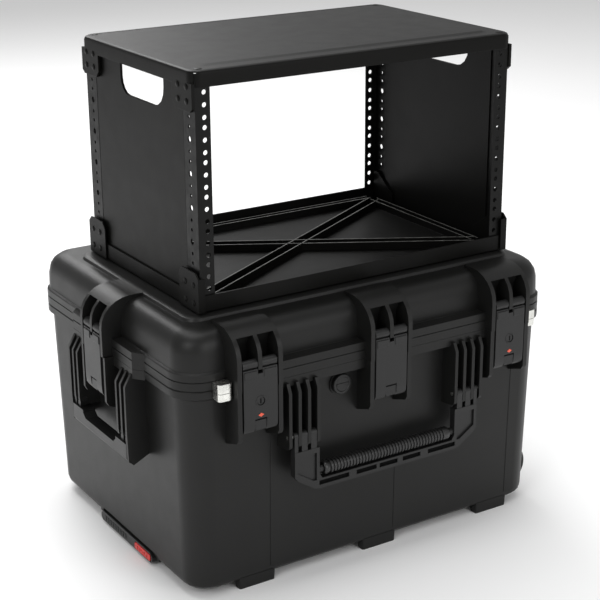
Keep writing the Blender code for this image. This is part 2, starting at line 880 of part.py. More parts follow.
def tow_bars(mesh):
    for side in (-1, 1):
        y0, y1 = sorted((TOW_Y + side * 51, TOW_Y + side * 69))
        box(mesh, TOW_X + 23.3, 180, y0, y1, 9.6, 18.6)


def tow_grip(mesh):
    """The pull grip at the left end of the channel, with rounded ends."""
    outline = [(-TOW_HALF, 8), (-TOW_HALF + 5, 3.5), (TOW_HALF - 5, 3.5), (TOW_HALF, 8)]
    outline += [(TOW_HALF, 13.5), (TOW_HALF - 6, 19), (-TOW_HALF + 6, 19), (-TOW_HALF, 13.5)]
    prism(mesh, [(TOW_Y + y, z) for y, z in outline], TOW_X, TOW_X + 23, "x")


def tow_grip_pocket(mesh):
    y = TOW_Y - 53
    box(mesh, TOW_X - 5, TOW_X + 8, y - 24.3, y + 24.3, 5.7, 16.3)


def tow_button(mesh):
    y = TOW_Y - 53
    outline = [(-24, 8), (-21.5, 6), (21.5, 6), (24, 8), (24, 14), (21.5, 16), (-21.5, 16), (-24, 14)]
    prism(mesh, [(y + across, z) for across, z in outline], TOW_X - 1.5, TOW_X + 5.5, "x")


def tow_strap(x):
    def shape(mesh):
        box(mesh, x - 15, x + 15, TOW_Y - 88, TOW_Y + 88, 5.4, FOOT_Z - 0.1)

    return shape


def make_rolling():
    for side, word in ((-1, "front"), (1, "back")):
        centre = (WHEEL_X, side * (WHEEL_INNER_Y + WHEEL_OUTER_Y) / 2, WHEEL_Z)
        shape, bore = wheel_hub(side)
        cut(build(f"wheel_hub_{word}", shape, FITTING, centre), bore)
        build(f"wheel_tyre_{word}", tyre(side), RUBBER, centre)
        build(f"wheel_axle_{word}", axle(side), BRIGHT_STEEL, centre)
    add(build("tow_frame", tow_cross_bar, CAGE_STEEL), tow_bars)
    cut(build("tow_grip", tow_grip, FITTING), tow_grip_pocket)
    build("tow_button", tow_button, RED)
    for word, x in (("outer", -150), ("inner", 60)):
        build(f"tow_strap_{word}", tow_strap(x), FITTING)


# ---------------------------------------------------------------- foam


def base_foam(mesh):
    """The floor pad of the base."""
    box(mesh, -266, 214, -193, 193, 28.3, 46)


def base_foam_posts(mesh):
    """Upright blocks in the corners, which hold the cage's ends."""
    for side in (-1, 1):
        y0, y1 = sorted((side * 158, side * 193))
        box(mesh, -266, -256, y0, y1, 40, 150)
        box(mesh, 200, 214, y0, y1, 40, 150)


def lid_foam(mesh):
    loft(mesh, [(225, 165, 20, 364), (225, 165, 20, 375.2)], 3)


# ---------------------------------------------------------------- rack cage


def rack_holes():
    """Heights of the holes of the EIA pattern, three to a unit."""
    return [RACK_Z + RACK_UNIT * unit + step for unit in range(RACK_UNITS) for step in (6.35, 22.225, 38.1)]


def cage_post(side, end):
    """A steel angle: the rack flange faces front or back, the other flange lies along the side."""
    face = CAGE_FRONT_Y if end < 0 else CAGE_BACK_Y
    x0 = CAGE_X + side * CAGE_HALF
    low, high = CAGE_BOTTOM_Z + 3.4, CAP_LOW_Z + 17

    def shape(mesh):
        corner = [
            (x0, face),
            (x0, face - end * POST_SIDE),
            (x0 - side * POST_SHEET, face - end * POST_SIDE),
            (x0 - side * POST_SHEET, face - end * POST_SHEET),
            (x0 - side * POST_FLANGE, face - end * POST_SHEET),
            (x0 - side * POST_FLANGE, face),
        ]
        prism(mesh, corner, low, high)

    def holes(mesh):
        y0, y1 = sorted((face + end * 3, face - end * (POST_SHEET + 3)))
        for z in rack_holes():
            disc(mesh, (CAGE_X + side * RACK_HOLE_X, z), RACK_HOLE_RADIUS, y0, y1, "y", 8)
        x_low, x_high = sorted((x0 + side * 3, x0 - side * (POST_SHEET + 3)))
        for z in rack_holes()[1::3]:
            disc(mesh, (face - end * 17, z), 4.2, x_low, x_high, "x", 6)

    return shape, holes


def side_panel(side):
    x0 = CAGE_X + side * (CAGE_HALF - 0.2)
    y0 = CAGE_FRONT_Y + POST_SIDE + 0.5
    y1 = CAGE_BACK_Y - POST_SIDE - 0.5

    def shape(mesh):
        low, high = sorted((x0, x0 - side * 3.5))
        box(mesh, low, high, y0, y1, CAGE_BOTTOM_Z + 3.4, CAP_LOW_Z + 17)

    def hand_hole(mesh):
        outline = [(-85, RACK_Z + 274), *arc(-57, RACK_Z + 254, 28, 180, 270, 4)]
        outline += [*arc(16, RACK_Z + 248, 22, 270, 360, 4), (38, RACK_Z + 274)]
        low, high = sorted((x0 + side * 5, x0 - side * 8))
        prism(mesh, outline, low, high, "x")

    return shape, hand_hole


CAGE_MIDDLE_Y = (CAGE_FRONT_Y + CAGE_BACK_Y) / 2
CAGE_DEPTH_HALF = (CAGE_BACK_Y - CAGE_FRONT_Y) / 2
CAGE_CENTRE = (CAGE_X, CAGE_MIDDLE_Y)


def tray_outer(mesh):
    half = CAGE_DEPTH_HALF + 3
    sections = [(CAGE_HALF + 1.5, half - 1.5, 9, CAGE_BOTTOM_Z), (CAGE_HALF + 3, half, 10, CAGE_BOTTOM_Z + 2)]
    loft(mesh, [*sections, (CAGE_HALF + 3, half, 10, CAGE_BOTTOM_Z + 23)], 3, CAGE_CENTRE)


def tray_hollow(mesh):
    half = CAGE_DEPTH_HALF + 0.3
    sections = [(CAGE_HALF + 0.3, half, 0.4, CAGE_BOTTOM_Z + 3), (CAGE_HALF + 0.3, half, 0.4, RACK_Z + 9)]
    loft(mesh, sections, 1, CAGE_CENTRE)


def tray_ribs(mesh):
    """Pairs of thin ribs from corner to corner and along all four edges."""
    half = TRAY_RIB / 2
    low = CAGE_BOTTOM_Z + 2
    top = low + TRAY_RIB_HEIGHT
    reach_x, reach_y = CAGE_HALF - 24, CAGE_DEPTH_HALF - 30
    for side in (-1, 1):
        direction = Vector((2 * reach_x, side * 2 * reach_y)).normalized()
        across = Vector((-direction.y, direction.x))
        for offset in (-TRAY_PAIR / 2, TRAY_PAIR / 2):
            ends = (Vector((-reach_x, -side * reach_y)), Vector((reach_x, side * reach_y)))
            a, b = (p + Vector(CAGE_CENTRE) + across * offset for p in ends)
            outline = [a - across * half, b - across * half, b + across * half, a + across * half]
            prism(mesh, [tuple(p) for p in outline], low, top)
    for end in (-1, 1):
        for offset in (12, 22):
            y = CAGE_MIDDLE_Y + end * (CAGE_DEPTH_HALF - offset)
            box(mesh, CAGE_X - 221, CAGE_X + 221, y - half, y + half, low, top)
        for offset in (18, 30):
            x = CAGE_X + end * (CAGE_HALF - offset)
            box(mesh, x - half, x + half, CAGE_MIDDLE_Y - reach_y, CAGE_MIDDLE_Y + reach_y, low, top)


def tray_gussets(mesh):
    """Upright gussets inside the corners, which clamp the side panels."""
    for side in (-1, 1):
        x0, x1 = sorted((CAGE_X + side * (CAGE_HALF - 4.2), CAGE_X + side * (CAGE_HALF - 7.2)))
        for end in (-1, 1):
            corner = CAGE_MIDDLE_Y + end * (CAGE_DEPTH_HALF - 4)
            outline = [
                (corner, CAGE_BOTTOM_Z + 2),
                (corner, RACK_Z + 26),
                (corner - end * 12, RACK_Z + 26),
                (corner - end * 52, RACK_Z - 2),
                (corner - end * 52, CAGE_BOTTOM_Z + 2),
            ]
            prism(mesh, outline, x0, x1, "x")


def corner_bracket(side, end):
    """A plate over the outside of a bottom corner, with a short return round the corner."""
    x0 = CAGE_X + side * (CAGE_HALF + 3.3)
    face = CAGE_MIDDLE_Y + end * (CAGE_DEPTH_HALF + 3.3)

    def plate(mesh):
        outline = [
            (face + end * 2.5, CAGE_BOTTOM_Z + 1),
            (face + end * 2.5, RACK_Z + 22),
            (face - end * 5, RACK_Z + 29),
            (face - end * 42, RACK_Z + 29),
            (face - end * 49.5, RACK_Z + 20),
            (face - end * 49.5, CAGE_BOTTOM_Z + 1),
        ]
        low, high = sorted((x0, x0 + side * 2.5))
        prism(mesh, outline, low, high, "x")

    def turn(mesh):
        x_low, x_high = sorted((x0 + side * 2.5, x0 - side * 8))
        y_low, y_high = sorted((face, face + end * 2.5))
        box(mesh, x_low, x_high, y_low, y_high, CAGE_BOTTOM_Z + 1, RACK_Z + 22)

    return plate, turn


def cap_outer(mesh):
    half = CAGE_DEPTH_HALF
    top = CAP_TOP_Z
    sections = [
        (CAGE_HALF + 5, half + 4.5, 16, CAP_LOW_Z),
        (CAGE_HALF + 5, half + 4.5, 16, top - 7),
        (CAGE_HALF + 3.5, half + 3, 15, top - 3.5),
        (CAGE_HALF, half - 0.5, 12, top - 1.8),
        (CAGE_HALF - 20, half - 18, 8, top - 1.8),
        (CAGE_HALF - 26, half - 24, 6, top),
    ]
    loft(mesh, sections, 4, CAGE_CENTRE)
    for side in (-1, 1):
        x0, x1 = sorted((CAGE_X + side * (CAGE_HALF + 0.4), CAGE_X + side * (CAGE_HALF + 5)))
        for end in (-1, 1):
            corner = CAGE_MIDDLE_Y + end * (CAGE_DEPTH_HALF + 2)
            outline = [
                (corner, CAP_LOW_Z + 5),
                (corner, CAP_LOW_Z - 26),
                (corner - end * 6, CAP_LOW_Z - 31),
                (corner - end * 44, CAP_LOW_Z - 31),
                (corner - end * 52, CAP_LOW_Z - 22),
                (corner - end * 52, CAP_LOW_Z + 5),
            ]
            prism(mesh, outline, x0, x1, "x")


def cap_hollow(mesh):
    half = CAGE_DEPTH_HALF + 0.5
    sections = [(CAGE_HALF + 0.4, half, 0.4, CAP_LOW_Z - 9), (CAGE_HALF + 0.4, half, 0.4, CAP_LOW_Z + 18)]
    loft(mesh, sections, 1, CAGE_CENTRE)


def make_cage():
    tray = build("cage_tray", tray_outer, CAGE_PLASTIC)
    cut(tray, tray_hollow)
    add(tray, tray_ribs)
    add(tray, tray_gussets)
    cut(build("cage_top", cap_outer, CAGE_PLASTIC), cap_hollow)
    for side, word in ((-1, "left"), (1, "right")):
        shape, hand_hole = side_panel(side)
        cut(build(f"cage_panel_{word}", shape, CAGE_PLASTIC), hand_hole)
        for end, place in ((-1, "front"), (1, "back")):
            shape, holes = cage_post(side, end)
            cut(build(f"rack_post_{place}_{word}", shape, CAGE_STEEL), holes)
            plate, turn = corner_bracket(side, end)
            add(build(f"cage_bracket_{place}_{word}", plate, CAGE_PLASTIC), turn)


make_base()
make_lid()
build("lid_seal", seal, RUBBER)
build("hinge_pin_left", hinge_pin(-1), BRIGHT_STEEL)
build("hinge_pin_right", hinge_pin(1), BRIGHT_STEEL)
add(build("foam_base_liner", base_foam, FOAM), base_foam_posts)
build("foam_lid_pad", lid_foam, FOAM)
build("valve_cap", valve_cap, FITTING)
make_hasps()
make_latches()
make_handles()
make_rolling()
make_cage()
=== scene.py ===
"""Equipment rack case: the looks of a wheeled moulded case with a rack cage standing on its lid.

Laid out as a Blender add-on, with one operator for each group of pieces and a panel that lists
them, and run as a script. Lengths are in metres in the case's own frame: X along the front, Y to
the back, Z up from the floor.
"""

from math import cos, pi, radians, sin

import bmesh
import bpy
from mathutils import Matrix, Vector


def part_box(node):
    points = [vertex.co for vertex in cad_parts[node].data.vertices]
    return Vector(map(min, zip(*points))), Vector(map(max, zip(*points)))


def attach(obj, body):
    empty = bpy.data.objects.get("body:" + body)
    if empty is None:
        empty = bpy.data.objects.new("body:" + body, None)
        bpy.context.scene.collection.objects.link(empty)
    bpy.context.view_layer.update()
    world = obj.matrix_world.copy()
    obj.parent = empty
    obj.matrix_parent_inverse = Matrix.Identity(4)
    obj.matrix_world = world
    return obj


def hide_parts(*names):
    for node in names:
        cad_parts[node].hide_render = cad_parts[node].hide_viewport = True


bl_info = {
    "name": "Equipment rack case",
    "version": (1, 0, 0),
    "blender": (4, 5, 0),
    "location": "3D View > Sidebar > Rack Case",
    "description": "Builds the finishes and fine detail of a wheeled rack case",
    "category": "Object",
}

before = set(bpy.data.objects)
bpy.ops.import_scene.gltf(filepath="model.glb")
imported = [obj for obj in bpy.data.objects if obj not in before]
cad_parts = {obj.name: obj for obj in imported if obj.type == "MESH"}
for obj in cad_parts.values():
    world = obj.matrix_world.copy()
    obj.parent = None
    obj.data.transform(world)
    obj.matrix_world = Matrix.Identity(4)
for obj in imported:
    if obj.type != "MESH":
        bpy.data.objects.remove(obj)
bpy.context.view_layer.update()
MM = 0.001

# Sizes below are in millimetres.
RACK_UNIT = 44.45
RACK_Z = 412.3
RACK_STEPS = (6.35, 22.225, 38.1)
RACK_ROW = 13.45
SIDE_ROW = 17
POST_SHEET = 2.0
WALL_FOOT = (24.0, -217.0)
WALL_RIM = (290.0, -222.5)
WALL_SEAMS = ((-170.0, 228), (33.5, 138), (236.5, 224))
SEAM_HALF = 0.55
HANDLE_SLOTS = ((-113, -65), (-53, -20), (-15, 15), (24, 54), (67, 114))
TRAY_WALL = 3
TRAY_RIB_TOP = 13
TRAY_RIB_HALF = 0.8
TRAY_PAIR = (-8.5, 8.5)
TRAY_FRONT_RIBS = (12, 22)
TRAY_END_RIBS = (18, 30)
TRAY_RIB_REACH = 221
TOP_RIM_DROP = 1.8

LIGHTS = (
    ("key_left", (-2.6, -1.4, 2.2), 1.4, 24),
    ("front_fill", (0.6, -3.2, 1.5), 1.8, 27),
    ("top_back", (0.3, 2.8, 2.6), 2.0, 60),
    ("overhead", (0.0, 0.6, 4.2), 3.0, 92),
)
LIGHT_TARGET = (0, 0, 0.35)

# ------------------------------------------------------------------ settings


def length(name, description, value):
    return bpy.props.FloatProperty(
        name=name, description=description, default=value, unit="LENGTH", min=0.0, precision=4
    )


def colour(name, description, value):
    return bpy.props.FloatVectorProperty(
        name=name, description=description, default=value, subtype="COLOR", size=3, min=0.0, max=1.0
    )


class RackCaseSizes(bpy.types.PropertyGroup):
    """Sizes of the fine detail."""

    edge: length("Edge radius", "Radius of the rounded edges of mouldings", 0.0008)
    grip_radius: length("Grip radius", "Radius over the ridges of the front grip", 0.0094)
    rack_hole: length("Rack hole", "Radius of a hole in the rack flange", 0.0033)
    side_hole: length("Side hole", "Radius of a small hole in the side flange", 0.0024)
    screw: length("Screw head", "Radius of the screws that hold the cage together", 0.0042)
    grip_ridges: bpy.props.IntProperty(
        name="Grip ridges", description="Ridges along the front grip", default=38, min=4, max=90
    )
    wheel_spokes: bpy.props.IntProperty(
        name="Wheel spokes", description="Spokes in a wheel", default=6, min=3, max=12
    )


class RackCaseColours(bpy.types.PropertyGroup):
    """Base colours of the finishes."""

    shell: colour("Shell", "The moulded case", (0.0070, 0.0070, 0.0066))
    fitting: colour("Fittings", "Latches and handles", (0.0100, 0.0100, 0.0100))
    cage: colour("Cage plastic", "The cage's tray, top and panels", (0.0032, 0.0031, 0.0027))
    steel: colour("Cage steel", "The powder-coated rack posts", (0.0035, 0.0035, 0.0033))
    bright: colour("Bright steel", "Padlock plates and pins", (0.80, 0.80, 0.76))
    red: colour("Red", "The release button and the marks on the latches", (0.62, 0.02, 0.015))
    rubber: colour("Rubber", "The grip, tyres and seal", (0.0075, 0.0075, 0.0075))
    foam: colour("Foam", "The foam inside", (0.035, 0.035, 0.038))


def sizes():
    return bpy.context.scene.rack_case_sizes


def colours():
    return bpy.context.scene.rack_case_colours


# ------------------------------------------------------------------ finishes


class Finish:
    """A procedural material: a shader with helpers for its texture nodes."""

    def __init__(self, name, base, roughness, metallic=0.0, specular=0.5):
        self.material = bpy.data.materials.new(name)
        self.material.use_nodes = True
        self.nodes = self.material.node_tree.nodes
        self.links = self.material.node_tree.links
        self.shader = self.nodes["Principled BSDF"]
        self.shader.inputs["Base Color"].default_value = (*base, 1.0)
        self.shader.inputs["Roughness"].default_value = roughness
        self.shader.inputs["Metallic"].default_value = metallic
        self.shader.inputs["Specular IOR Level"].default_value = specular
        self.base = tuple(base)
        self.place = self.nodes.new("ShaderNodeTexCoord").outputs["Object"]
        self.normal = None

    def noise(self, scale, detail=3.0, stretch=None):
        texture = self.nodes.new("ShaderNodeTexNoise")
        texture.inputs["Scale"].default_value = scale
        texture.inputs["Detail"].default_value = detail
        place = self.place
        if stretch:
            mapping = self.nodes.new("ShaderNodeMapping")
            mapping.inputs["Scale"].default_value = stretch
            self.links.new(self.place, mapping.inputs["Vector"])
            place = mapping.outputs["Vector"]
        self.links.new(place, texture.inputs["Vector"])
        return texture.outputs["Fac"]

    def cells(self, scale):
        texture = self.nodes.new("ShaderNodeTexVoronoi")
        texture.inputs["Scale"].default_value = scale
        self.links.new(self.place, texture.inputs["Vector"])
        return texture.outputs["Distance"]

    def spread(self, value, low, high):
        """A texture value mapped onto a range."""
        node = self.nodes.new("ShaderNodeMapRange")
        node.inputs["From Min"].default_value = 0.3
        node.inputs["From Max"].default_value = 0.7
        node.inputs["To Min"].default_value = low
        node.inputs["To Max"].default_value = high
        self.links.new(value, node.inputs["Value"])
        return node.outputs["Result"]

    def tint(self, value, dark, light):
        """The base colour, between a darker and a lighter multiple of itself."""
        ramp = self.nodes.new("ShaderNodeValToRGB")
        ramp.color_ramp.elements[0].position = 0.35
        ramp.color_ramp.elements[1].position = 0.7
        ramp.color_ramp.elements[0].color = (*(c * dark for c in self.base), 1.0)
        ramp.color_ramp.elements[1].color = (*(c * light for c in self.base), 1.0)
        self.links.new(value, ramp.inputs["Fac"])
        self.links.new(ramp.outputs["Color"], self.shader.inputs["Base Color"])
        return self

    def rough(self, value, low, high):
        self.links.new(self.spread(value, low, high), self.shader.inputs["Roughness"])
        return self

    def bump(self, value, depth, strength=1.0):
        node = self.nodes.new("ShaderNodeBump")
        node.inputs["Strength"].default_value = strength
        node.inputs["Distance"].default_value = depth
        self.links.new(value, node.inputs["Height"])
        if self.normal:
            self.links.new(self.normal, node.inputs["Normal"])
        self.normal = node.outputs["Normal"]
        self.links.new(self.normal, self.shader.inputs["Normal"])
        return self


FINISHES = {}


def moulded(name, base, low, high, grain, depth, specular):
    """Moulded plastic: a fine spark texture and a slightly uneven sheen."""
    made = Finish(name, base, (low + high) / 2, specular=specular)
    made.tint(made.noise(9, 2), 0.92, 1.12)
    made.rough(made.noise(38, 4), low, high)
    made.bump(made.cells(grain), depth, 0.5)
    made.bump(made.noise(grain * 0.45, 5), depth * 0.6, 0.4)
    return made.material


def make_finishes():
    tones = colours()
    FINISHES["shell"] = moulded("shell_plastic", tones.shell, 0.38, 0.42, 900, 0.00012, 0.27)
    FINISHES["fitting"] = moulded("fitting_plastic", tones.fitting, 0.34, 0.39, 1300, 0.00006, 0.36)
    FINISHES["cage"] = moulded("cage_plastic", tones.cage, 0.40, 0.44, 1000, 0.00010, 0.12)

    # Painted highlight: a light grey for strips along the tops of the tray's ribs, standing in for light
    # catching their edges.
    edge_highlight = Finish("painted_edge_highlight", (0.16, 0.16, 0.15), 0.4)
    edge_highlight.tint(edge_highlight.noise(120, 4), 0.5, 1.4).rough(edge_highlight.noise(200, 3), 0.3, 0.5)
    FINISHES["edge_highlight"] = edge_highlight.material

    coat = Finish("cage_steel", tones.steel, 0.42, specular=0.16)
    coat.tint(coat.noise(30, 3), 0.85, 1.25).rough(coat.noise(90, 3), 0.32, 0.46)
    coat.bump(coat.noise(1500, 2), 0.00012, 0.5)
    FINISHES["steel"] = coat.material

    bright = Finish("bright_steel", tones.bright, 0.26, metallic=1.0)
    bright.tint(bright.noise(60, 4), 0.8, 1.08)
    bright.rough(bright.noise(260, 3, (1, 1, 12)), 0.18, 0.36)
    bright.bump(bright.noise(700, 2, (1, 1, 14)), 0.00004, 0.5)
    FINISHES["bright"] = bright.material

    red = Finish("red_plastic", tones.red, 0.32, specular=0.6)
    red.tint(red.noise(60, 3), 0.85, 1.12).rough(red.noise(120, 3), 0.26, 0.38)
    red.bump(red.noise(1200, 2), 0.00006, 0.4)
    FINISHES["red"] = red.material

    mark = Finish("latch_mark", (0.75, 0.1, 0.05), 0.4)
    mark.tint(mark.noise(500, 2), 0.9, 1.1)
    FINISHES["mark"] = mark.material

    rubber = Finish("black_rubber", tones.rubber, 0.62, specular=0.35)
    rubber.tint(rubber.noise(25, 4), 0.8, 1.5).rough(rubber.noise(70, 4), 0.5, 0.72)
    rubber.bump(rubber.noise(1800, 3), 0.0001, 0.6)
    FINISHES["rubber"] = rubber.material

    grip = Finish("grip_rubber", tones.rubber, 0.34, specular=0.6)
    grip.tint(grip.noise(40, 4), 0.8, 1.4).rough(grip.noise(90, 3), 0.28, 0.4)
    FINISHES["grip"] = grip.material

    foam = Finish("grey_foam", tones.foam, 0.95, specular=0.2)
    foam.tint(foam.noise(40, 5), 0.75, 1.25).rough(foam.noise(90, 3), 0.88, 1.0)
    foam.bump(foam.cells(700), 0.0006, 0.8).bump(foam.noise(160, 4), 0.0012, 0.5)
    FINISHES["foam"] = foam.material

    # Painted shade: a near-black for the floors of slots, the keyway and a groove, standing in for the
    # shade inside them.
    shade_finish = Finish("painted_shade_finish", (0.0025, 0.0025, 0.0025), 0.9, specular=0.1)
    shade_finish.tint(shade_finish.noise(80, 2), 0.8, 1.2)
    FINISHES["painted_shade"] = shade_finish.material


# ------------------------------------------------------------------ modelling


def box_mm(node):
    """The low and high corners of a CAD node's box, in millimetres."""
    return [[value / MM for value in corner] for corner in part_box(node)]


class Shape:
    """A mesh being drawn in millimetres, then made into a piece that rides on a body."""

    def __init__(self):
        self.mesh = bmesh.new()

    def box(self, x0, x1, y0, y1, z0, z1):
        place = Matrix.Translation(((x0 + x1) / 2, (y0 + y1) / 2, (z0 + z1) / 2))
        size = Matrix.Diagonal((abs(x1 - x0), abs(y1 - y0), abs(z1 - z0), 1.0))
        bmesh.ops.create_cube(self.mesh, size=1.0, matrix=place @ size)
        return self

    def prism(self, outline, low, high, axis="z"):
        order = {
            "z": lambda a, b, c: (a, b, c),
            "x": lambda a, b, c: (c, a, b),
            "y": lambda a, b, c: (a, c, b),
        }[axis]
        lower = [self.mesh.verts.new(order(a, b, low)) for a, b in outline]
        upper = [self.mesh.verts.new(order(a, b, high)) for a, b in outline]
        faces = [self.mesh.faces.new(lower), self.mesh.faces.new(upper)]
        for i in range(len(outline)):
            j = (i + 1) % len(outline)
            faces.append(self.mesh.faces.new((lower[i], lower[j], upper[j], upper[i])))
        bmesh.ops.recalc_face_normals(self.mesh, faces=faces)
        return self

    def turned(self, profile, centre, axis, steps=32, closed=False):
        """A profile of (radius, distance along the axis), turned round an axis."""
        order = {
            "x": lambda a, b, c: (c, a, b),
            "y": lambda a, b, c: (a, c, b),
            "z": lambda a, b, c: (a, b, c),
        }[axis]
        rings = []
        for i in range(steps):
            angle = 2 * pi * i / steps
            rings.append(
                [
                    self.mesh.verts.new(
                        Vector(centre) + Vector(order(r * cos(angle), r * sin(angle), along))
                    )
                    for r, along in profile
                ]
            )
        faces = []
        count = len(profile)
        for i in range(steps):
            first, second = rings[i], rings[(i + 1) % steps]
            for k in range(count if closed else count - 1):
                j = (k + 1) % count
                faces.append(self.mesh.faces.new((first[k], first[j], second[j], second[k])))
        if not closed:
            faces.append(self.mesh.faces.new([ring[0] for ring in rings]))
            faces.append(self.mesh.faces.new([ring[-1] for ring in rings]))
        bmesh.ops.recalc_face_normals(self.mesh, faces=faces)
        return self

    def move(self, matrix):
        bmesh.ops.transform(self.mesh, matrix=matrix, verts=self.mesh.verts)
        return self

    def piece(self, name, body, finish, slot, bevel=0.0, replaces=(), angle=35, segments=2):
        for vertex in self.mesh.verts:
            vertex.co *= MM
        data = bpy.data.meshes.new(name)
        self.mesh.to_mesh(data)
        self.mesh.free()
        made = bpy.data.objects.new(name, data)
        bpy.context.scene.collection.objects.link(made)
        data.materials.append(FINISHES[finish])
        data.shade_smooth()
        data.set_sharp_from_angle(angle=radians(angle))
        if bevel:
            round_edges(made, bevel, segments)
        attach(made, body)
        if replaces:
            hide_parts(*replaces)
        return made


def round_edges(piece, width, segments=2, angle=32):
    step = piece.modifiers.new("rounded_edges", "BEVEL")
    step.width = width
    step.segments = segments
    step.limit_method = "ANGLE"
    step.angle_limit = radians(angle)
    step.harden_normals = True
    return step


def dress(node, finish, bevel=0.0, angle=32):
    """Gives a CAD node its finish, smooth curved faces and rounded edges."""
    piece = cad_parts[node]
    if not piece.material_slots:
        piece.data.materials.append(FINISHES[finish])
    for holder in piece.material_slots:
        holder.material = FINISHES[finish]
    if not bevel:
        piece.data.shade_flat()
        return piece
    piece.data.shade_smooth()
    joined = piece.modifiers.new("joined_faces", "WELD")
    joined.merge_threshold = 0.00002
    flat = piece.modifiers.new("flat_faces", "DECIMATE")
    flat.decimate_type = "DISSOLVE"
    flat.angle_limit = radians(0.6)
    round_edges(piece, bevel, 2, angle)
    even = piece.modifiers.new("even_shading", "WEIGHTED_NORMAL")
    even.weight = 100
    even.keep_sharp = True
    return piece


def turn_to(name, x, y):
    """The place of a latch on the rim: X along it and Y outward negative from the band's face."""
    turns = {"front": 0, "side_left": -90, "side_right": 90}
    turn = turns["front"] if name.startswith("front") else turns[name]
    return Matrix.Translation((x, y, 0)) @ Matrix.Rotation(radians(turn), 4, "Z")


def wall_at(z):
    """Y of the front wall, which leans out from the foot to the rim."""
    share = (z - WALL_FOOT[0]) / (WALL_RIM[0] - WALL_FOOT[0])
    return WALL_FOOT[1] + (WALL_RIM[1] - WALL_FOOT[1]) * share


LATCH_SPOTS = {
    "front_left": (-203.5, -240),
    "front_centre": (0, -240),
    "front_right": (203.5, -240),
    "side_left": (-311, -14),
    "side_right": (311, -14),
}


# ------------------------------------------------------------------ operators


class RACKCASE_OT_finishes(bpy.types.Operator):
    """Makes the materials"""

    bl_idname = "rackcase.finishes"
    bl_label = "Finishes"

    def execute(self, context):
        make_finishes()
        return {"FINISHED"}


class RACKCASE_OT_shells(bpy.types.Operator):
    """Finishes the base and lid mouldings and the seal, and adds the seams of the front wall"""

    bl_idname = "rackcase.shells"
    bl_label = "Case shells"

    def execute(self, context):
        dress("base_shell", "shell", 0.0007)
        dress("lid_shell", "shell", 0.0007)
        dress("lid_seal", "rubber")
        seams = Shape()
        for x, top in WALL_SEAMS:
            outline = [(wall_at(z) - 0.5, z) for z in (WALL_FOOT[0], top)]
            outline += [(wall_at(z) + 3, z) for z in (top, WALL_FOOT[0])]
            seams.prism(outline, x - SEAM_HALF, x + SEAM_HALF, "x")
        seams.piece("wall_seams", "base", "shell", "shell_plastic")
        return {"FINISHED"}


class RACKCASE_OT_latches(bpy.types.Operator):
    """Finishes the latches: relief on the faces, pins, release levers, locks and red marks"""

    bl_idname = "rackcase.latches"
    bl_label = "Latches"

    def execute(self, context):
        for name, (x, y) in LATCH_SPOTS.items():
            place = turn_to(name, x, y)
            dress(f"latch_{name}", "fitting", 0.0008)
            dress(f"latch_trigger_{name}", "fitting", 0.0005)
            dress(f"latch_pin_{name}", "bright")
            relief = Shape()
            for side in (-1, 1):
                low, high = sorted((side * 5, side * 23.5))
                relief.box(low, high, -15.4, -13.4, 320, 330.5)
            relief.move(place)
            relief.piece(
                f"latch_relief_{name}", f"latch_{name}", "fitting", "fitting_plastic", sizes().edge
            )
            if name in ("front_left", "front_right"):
                dress(f"lock_plug_{name}", "fitting", 0.0006)
                self.lock_detail(name, place)
        return {"FINISHED"}

    def lock_detail(self, name, place):
        ring = [(5.9, -15.2), (7.4, -15.2), (7.9, -14.3), (5.9, -14.3)]
        collar = Shape().turned(ring, (0, 0, 288), "y", 28, True).move(place)
        collar.piece(f"lock_collar_{name}", f"latch_{name}", "fitting", "fitting_plastic")
        # The keyway is a thin plate painted dark: painted shade standing in for the slot in the lock.
        keyway = Shape().box(-0.8, 0.8, -14.5, -13.9, 284.6, 291.4).move(place)
        keyway.piece(f"lock_keyway_{name}", f"lock_{name}", "painted_shade", "fitting_plastic")
        diamond = [(-4.2, 269), (0, 266.4), (4.2, 269), (0, 271.6)]
        mark = Shape().prism(diamond, -15.0, -14.2, "y").move(place)
        mark.piece(f"latch_mark_{name}", f"latch_{name}", "mark", "red_plastic")


class RACKCASE_OT_handles(bpy.types.Operator):
    """Finishes the folding handles and makes the ridged front grip"""

    bl_idname = "rackcase.handles"
    bl_label = "Handles"

    def execute(self, context):
        dress("front_handle_frame", "fitting", 0.0007)
        for side in ("left", "right"):
            dress(f"front_handle_pin_{side}", "bright")
            dress(f"side_handle_{side}", "fitting", 0.0012)
        self.grip()
        self.frame_pockets()
        return {"FINISHED"}

    def frame_pockets(self):
        """Floors in the slots along the front handle's bar, painted dark as the shade inside the slots.
        """
        floors = Shape()
        for x0, x1 in HANDLE_SLOTS:
            floors.box(x0 + 0.2, x1 - 0.2, -248.1, -247.4, 143.7, 149.8)
        floors.piece("handle_pocket_floors", "front_handle", "painted_shade", "fitting_plastic")

    def grip(self):
        low, high = box_mm("front_handle_grip")
        centre = [(a + b) / 2 for a, b in zip(low, high)]
        start, end = low[0], high[0]
        outer = sizes().grip_radius / MM
        count = sizes().grip_ridges
        pitch = (end - start - 16) / count
        profile = [(6.4, start), (outer - 0.9, start), (outer, start + 1.2), (outer, start + 7)]
        for i in range(count):
            x = start + 8 + i * pitch
            profile += [(outer - 1.5, x + 0.05 * pitch), (outer - 1.5, x + 0.3 * pitch)]
            profile += [(outer, x + 0.45 * pitch), (outer + 0.1, x + 0.7 * pitch)]
            profile += [(outer, x + 0.95 * pitch)]
        profile += [(outer, end - 7), (outer, end - 1.2), (outer - 0.9, end), (6.4, end)]
        sleeve = Shape().turned(profile, (0, centre[1], centre[2]), "x", 28, True)
        sleeve.piece(
            "ridged_grip",
            "front_handle",
            "grip",
            "black_rubber",
            replaces=("front_handle_grip",),
            angle=50,
        )


